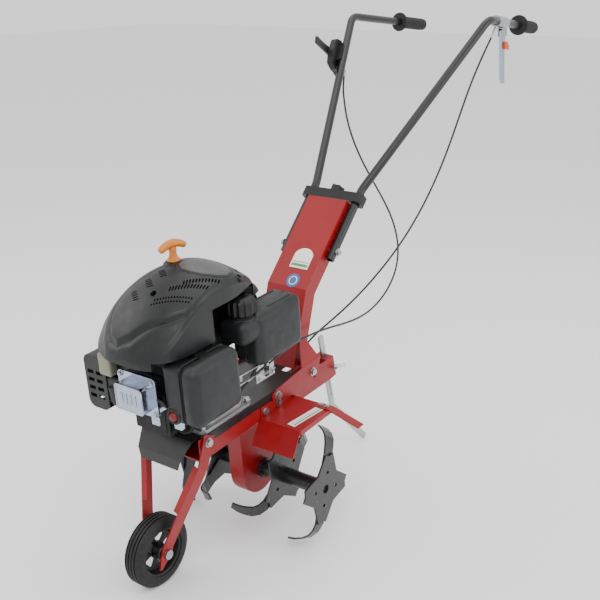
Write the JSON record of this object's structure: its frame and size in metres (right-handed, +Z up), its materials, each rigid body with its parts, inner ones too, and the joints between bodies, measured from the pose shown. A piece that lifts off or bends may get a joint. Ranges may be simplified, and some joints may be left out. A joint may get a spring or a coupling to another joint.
{
  "type": "tiller",
  "caption": "Walk-behind rotary tiller with a front engine under a domed black cover, a red sheet frame and column, forked transport wheel, curved tines, mudguards, drag bar and swept handles.",
  "frame": {"origin": "on the ground under the centre of the machine's length and width, without its cables", "axes": "+Z up, -Y the machine's front (transport wheel), +Y towards the operator's grips, +X the operator's left"},
  "size_m": [0.5254, 1.4277, 1.094],
  "materials": {
    "red_paint": "gloss powder coat",
    "black_paint": "satin powder coat",
    "bar_paint": "satin",
    "tine_steel": "satin black",
    "zinc_steel": "zinc plated",
    "ground_steel": "ground",
    "cast_aluminium": "cast",
    "steel_sheet": "pressed sheet",
    "cast_iron": "machined",
    "bronze": "turned",
    "black_plastic": "fine grain",
    "tank_plastic": "fine grain",
    "grip_rubber": "soft matte",
    "tyre_rubber": "moulded",
    "rim_plastic": "moulded",
    "cable_sheath": "satin",
    "belt_rubber": "fabric faced",
    "orange_plastic": "moulded",
    "pull_plastic": "moulded",
    "bulb_red": "soft",
    "filter_paper": "pleated paper",
    "bulb_rubber": "soft",
    "spring_steel": "drawn wire"
  },
  "bodies": {
    "chassis": {"chassis_frame": "red_paint", "engine_bed": "black_paint", "column": "red_paint", "drag_bracket": "red_paint", "gearbox_left_shell": "red_paint", "gearbox_right_shell": "red_paint", "mudguard_left": "red_paint", "mudguard_right": "red_paint", "guard_extensions": "red_paint", "frame_bolts": "zinc_steel", "gearbox_bearings": "bronze", "crankcase": "cast_aluminium", "cylinder_head": "cast_aluminium", "blower_housing": "black_plastic", "fuel_tank": "tank_plastic", "muffler": "steel_sheet", "side_cover": "black_plastic", "air_filter_box": "black_plastic", "air_filter_element": "filter_paper", "carburettor": "cast_aluminium", "spark_plug_cap": "bulb_rubber", "drive_belt": "belt_rubber", "idler_spring": "spring_steel"},
    "crank": {"crankshaft": "ground_steel", "flywheel": "cast_iron", "drive_pulley": "cast_iron"},
    "reel": {"starter_reel": "black_plastic"},
    "starter_pull": {"starter_handle": "pull_plastic"},
    "fuel_cap": {"fuel_cap": "black_plastic"},
    "oil_cap": {"oil_cap": "black_plastic"},
    "primer": {"primer_bulb": "bulb_red"},
    "worm": {"driven_pulley": "cast_iron", "worm_shaft": "ground_steel"},
    "tines": {"worm_wheel": "bronze", "tine_axle": "ground_steel", "tine_hub_left": "tine_steel", "tine_hub_right": "tine_steel", "tine_blades_left": "tine_steel", "tine_blades_right": "tine_steel"},
    "idler_arm": {"idler_arm": "zinc_steel"},
    "idler_pulley": {"idler_pulley": "zinc_steel"},
    "fork": {"wheel_fork": "red_paint", "wheel_bolt": "zinc_steel"},
    "wheel": {"wheel_rim": "rim_plastic", "wheel_tyre": "tyre_rubber"},
    "handlebar": {"handle_tube_left": "bar_paint", "handle_tube_right": "bar_paint", "handle_clamp": "black_plastic", "grip_left": "grip_rubber", "grip_right": "grip_rubber", "clutch_bracket": "zinc_steel", "throttle_housing": "black_plastic", "clutch_cable": "cable_sheath", "throttle_cable": "cable_sheath"},
    "clamp_knob": {"clamp_knob": "black_plastic"},
    "clutch_lever": {"clutch_lever": "zinc_steel"},
    "clutch_catch": {"clutch_catch": "orange_plastic"},
    "throttle_lever": {"throttle_lever": "black_plastic"},
    "drag_bar": {"drag_bar": "zinc_steel"},
    "drag_pin": {"drag_pin": "zinc_steel"}
  },
  "joints": [
    {"name": "crank_spin", "type": "hinge", "parent": "chassis", "child": "crank", "pos_m": [0, -0.47796, 0.31893], "axis": [0, -0.0802, 0.9968], "continuous": true},
    {"name": "starter_pull", "type": "slide", "parent": "chassis", "child": "starter_pull", "axis": [0, -0.0802, 0.9968], "range_m": [0, 0.098], "stiffness_N_per_m": 60, "springref_m": -0.1},
    {"name": "reel_turn", "type": "hinge", "parent": "chassis", "child": "reel", "pos_m": [0, -0.4964, 0.54819], "axis": [0, -0.0802, 0.9968], "range_deg": [0, 220]},
    {"name": "fuel_cap_turn", "type": "hinge", "parent": "chassis", "child": "fuel_cap", "pos_m": [0.08, -0.44039, 0.56272], "axis": [0, -0.0802, 0.9968], "range_deg": [0, 180]},
    {"name": "oil_cap_turn", "type": "hinge", "parent": "chassis", "child": "oil_cap", "pos_m": [0.06, -0.59328, 0.35579], "axis": [0.2519, -0.8017, 0.542], "range_deg": [0, 360]},
    {"name": "primer_press", "type": "slide", "parent": "chassis", "child": "primer", "axis": [0, 0.9968, 0.0802], "range_m": [0, 0.006], "stiffness_N_per_m": 300},
    {"name": "tine_spin", "type": "hinge", "parent": "chassis", "child": "tines", "pos_m": [0, -0.3124, 0.1316], "axis": [1, 0, 0], "continuous": true},
    {"name": "worm_spin", "type": "hinge", "parent": "chassis", "child": "worm", "pos_m": [0, -0.27054, 0.13497], "axis": [0, -0.0802, 0.9968], "continuous": true},
    {"name": "clutch_squeeze", "type": "hinge", "parent": "handlebar", "child": "clutch_lever", "pos_m": [0.18834, 0.4785, 1.04986], "axis": [1, 0, 0], "range_deg": [0, 55], "stiffness_Nm_per_rad": 1, "springref_deg": -17.19},
    {"name": "idler_swing", "type": "hinge", "parent": "chassis", "child": "idler_arm", "pos_m": [0.05, -0.43528, 0.28725], "axis": [0, -0.0802, 0.9968], "range_deg": [0, 5.9], "deforming": ["idler_spring"]},
    {"name": "idler_spin", "type": "hinge", "parent": "idler_arm", "child": "idler_pulley", "pos_m": [0.05, -0.3815, 0.30462], "axis": [0, -0.0802, 0.9968], "continuous": true},
    {"name": "fork_fold", "type": "hinge", "parent": "chassis", "child": "fork", "pos_m": [0, -0.55355, 0.31084], "axis": [1, 0, 0], "range_deg": [-66, 0]},
    {"name": "wheel_spin", "type": "hinge", "parent": "fork", "child": "wheel", "pos_m": [0, -0.63681, 0.07702], "axis": [1, 0, 0], "continuous": true},
    {"name": "handlebar_tilt", "type": "hinge", "parent": "chassis", "child": "handlebar", "pos_m": [0, -0.08627, 0.59454], "axis": [1, 0, 0], "range_deg": [-15, 20], "deforming": ["clutch_cable", "throttle_cable"]},
    {"name": "knob_turn", "type": "hinge", "parent": "handlebar", "child": "clamp_knob", "pos_m": [0, 0.01927, 0.70615], "axis": [0, 0.6871, 0.7266], "continuous": true},
    {"name": "catch_press", "type": "hinge", "parent": "clutch_lever", "child": "clutch_catch", "pos_m": [0.19264, 0.4849, 1.02028], "axis": [1, 0, 0], "range_deg": [0, 20], "stiffness_Nm_per_rad": 0.05},
    {"name": "throttle_turn", "type": "hinge", "parent": "handlebar", "child": "throttle_lever", "pos_m": [-0.1639, 0.29411, 0.99458], "axis": [-0.9685, -0.1719, -0.1804], "range_deg": [-35, 35]},
    {"name": "drag_bar_height", "type": "slide", "parent": "chassis", "child": "drag_bar", "axis": [0, -0.2453, 0.9694], "range_m": [0, 0.09]},
    {"name": "drag_pin_pull", "type": "slide", "parent": "chassis", "child": "drag_pin", "axis": [1, 0, 0], "range_m": [0, 0.062]}
  ],
  "couplings": [
    {"joint": "worm_spin", "follows": "tine_spin", "ratio": -24},
    {"joint": "idler_swing", "follows": "clutch_squeeze", "ratio": 0.10545},
    {"joint": "reel_turn", "follows": "starter_pull", "rad_per_m": 38.462}
  ]
}
